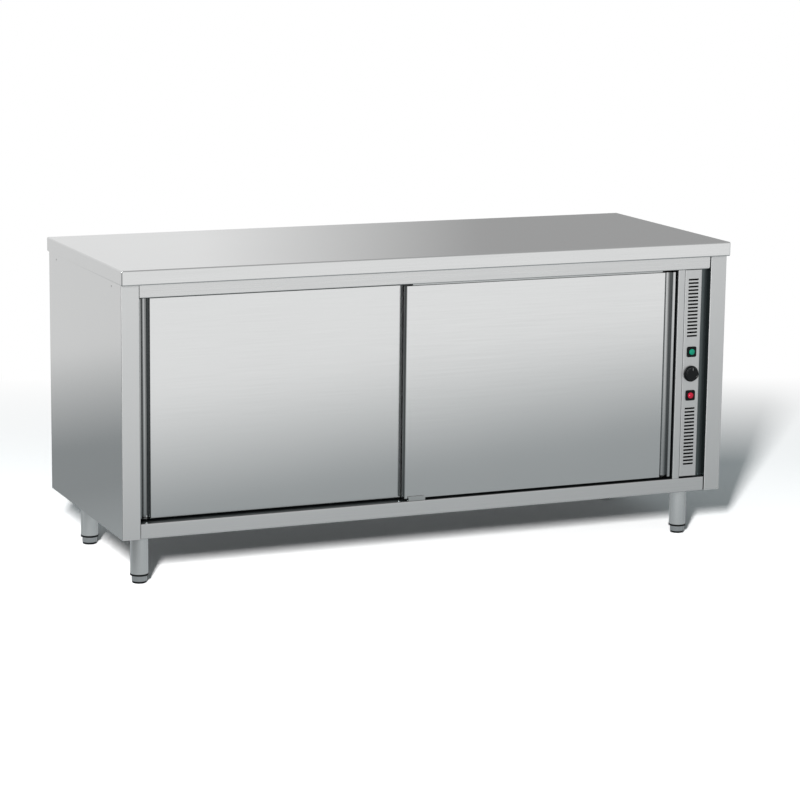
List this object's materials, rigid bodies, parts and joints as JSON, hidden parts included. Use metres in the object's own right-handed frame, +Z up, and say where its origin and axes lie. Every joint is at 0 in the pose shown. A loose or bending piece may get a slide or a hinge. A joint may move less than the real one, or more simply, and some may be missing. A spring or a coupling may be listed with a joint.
{
  "type": "plate warmer cabinet",
  "caption": "Heated stainless steel cupboard under a worktop, with two sliding doors on a double track, an inner shelf and a control column with a thermostat knob and pilot lamps.",
  "frame": {"origin": "on the floor under the middle of the worktop, at the bottom centre of the bounding box", "axes": "+X to the right seen from the front, -Y to the front with the doors and the knob, +Z up"},
  "size_m": [1.8, 0.7, 0.85],
  "materials": {
    "satin_steel": "satin",
    "worktop_steel": "satin",
    "inner_steel": "satin",
    "galvanised": "matte",
    "door_steel": "satin",
    "board": "matte",
    "mineral_wool": "matte",
    "black_plastic": "matte",
    "knob_plastic": "satin",
    "green_lens": "gloss",
    "red_lens": "gloss",
    "white_plastic": "satin",
    "stop_rubber": "matte",
    "heater_sheath": "matte",
    "motor_steel": "satin",
    "fan_aluminium": "satin",
    "bright_steel": "polished",
    "nut_zinc": "satin"
  },
  "bodies": {
    "cabinet": {"worktop": "worktop_steel", "worktop_board": "board", "left_side_panel": "satin_steel", "right_side_panel": "satin_steel", "back_panel": "galvanised", "bottom_panel": "galvanised", "top_rail": "satin_steel", "bottom_rail": "satin_steel", "left_liner": "inner_steel", "back_liner": "inner_steel", "ceiling_liner": "inner_steel", "inner_floor": "inner_steel", "heater_partition": "inner_steel", "partition_post": "satin_steel", "control_panel": "satin_steel", "recess_channel": "satin_steel", "insulation": "mineral_wool", "door_track": "galvanised", "track_stops": "stop_rubber", "door_guide": "satin_steel", "shelf": "inner_steel", "shelf_angles": "inner_steel", "thermostat": "black_plastic", "green_lamp_bezel": "black_plastic", "green_lamp_lens": "green_lens", "red_lamp_bezel": "black_plastic", "red_lamp_lens": "red_lens", "terminal_block": "white_plastic", "heater_element": "heater_sheath", "fan_motor": "motor_steel", "cable_gland": "black_plastic", "front_left_leg": "satin_steel", "front_right_leg": "satin_steel", "rear_left_leg": "satin_steel", "rear_right_leg": "satin_steel", "leg_collars": "black_plastic", "leg_nuts": "nut_zinc"},
    "front_door": {"front_door_skin": "door_steel", "front_door_core": "mineral_wool", "front_door_back": "inner_steel", "front_door_hanger": "inner_steel"},
    "rear_door": {"rear_door_skin": "door_steel", "rear_door_core": "mineral_wool", "rear_door_back": "inner_steel", "rear_door_hanger": "inner_steel"},
    "front_left_roller": {"front_roller_left": "white_plastic"},
    "front_right_roller": {"front_roller_right": "white_plastic"},
    "rear_left_roller": {"rear_roller_left": "white_plastic"},
    "rear_right_roller": {"rear_roller_right": "white_plastic"},
    "knob": {"control_knob": "knob_plastic", "knob_spindle": "bright_steel"},
    "fan": {"fan_impeller": "fan_aluminium"},
    "front_left_foot": {"front_left_foot_cap": "bright_steel", "front_left_foot_pad": "black_plastic"},
    "front_right_foot": {"front_right_foot_cap": "bright_steel", "front_right_foot_pad": "black_plastic"},
    "rear_left_foot": {"rear_left_foot_cap": "bright_steel", "rear_left_foot_pad": "black_plastic"},
    "rear_right_foot": {"rear_right_foot_cap": "bright_steel", "rear_right_foot_pad": "black_plastic"}
  },
  "joints": [
    {"name": "front_door_slide", "type": "slide", "parent": "cabinet", "child": "front_door", "axis": [-1, 0, 0], "range_m": [0, 0.755]},
    {"name": "rear_door_slide", "type": "slide", "parent": "cabinet", "child": "rear_door", "axis": [1, 0, 0], "range_m": [0, 0.755]},
    {"name": "front_roller_left_roll", "type": "hinge", "parent": "front_door", "child": "front_left_roller", "pos_m": [-0.0085, -0.3175, 0.79125], "axis": [0, 1, 0], "range_deg": [-3934, 0]},
    {"name": "front_roller_right_roll", "type": "hinge", "parent": "front_door", "child": "front_right_roller", "pos_m": [0.6375, -0.3175, 0.79125], "axis": [0, 1, 0], "range_deg": [-3934, 0]},
    {"name": "rear_roller_left_roll", "type": "hinge", "parent": "rear_door", "child": "rear_left_roller", "pos_m": [-0.7415, -0.2945, 0.79125], "axis": [0, 1, 0], "range_deg": [0, 3934]},
    {"name": "rear_roller_right_roll", "type": "hinge", "parent": "rear_door", "child": "rear_right_roller", "pos_m": [-0.0955, -0.2945, 0.79125], "axis": [0, 1, 0], "range_deg": [0, 3934]},
    {"name": "knob_turn", "type": "hinge", "parent": "cabinet", "child": "knob", "pos_m": [0.792, -0.335, 0.475], "axis": [0, 1, 0], "range_deg": [0, 290]},
    {"name": "fan_spin", "type": "hinge", "parent": "cabinet", "child": "fan", "pos_m": [0.761, 0.02, 0.308], "axis": [1, 0, 0], "continuous": true},
    {"name": "front_left_foot_screw", "type": "slide", "parent": "cabinet", "child": "front_left_foot", "axis": [0, 0, -1], "range_m": [0, 0.03]},
    {"name": "front_right_foot_screw", "type": "slide", "parent": "cabinet", "child": "front_right_foot", "axis": [0, 0, -1], "range_m": [0, 0.03]},
    {"name": "rear_left_foot_screw", "type": "slide", "parent": "cabinet", "child": "rear_left_foot", "axis": [0, 0, -1], "range_m": [0, 0.03]},
    {"name": "rear_right_foot_screw", "type": "slide", "parent": "cabinet", "child": "rear_right_foot", "axis": [0, 0, -1], "range_m": [0, 0.03]}
  ],
  "couplings": [
    {"joint": "front_roller_left_roll", "follows": "front_door_slide", "rad_per_m": -90.909},
    {"joint": "front_roller_right_roll", "follows": "front_door_slide", "rad_per_m": -90.909},
    {"joint": "rear_roller_left_roll", "follows": "rear_door_slide", "rad_per_m": 90.909},
    {"joint": "rear_roller_right_roll", "follows": "rear_door_slide", "rad_per_m": 90.909}
  ]
}
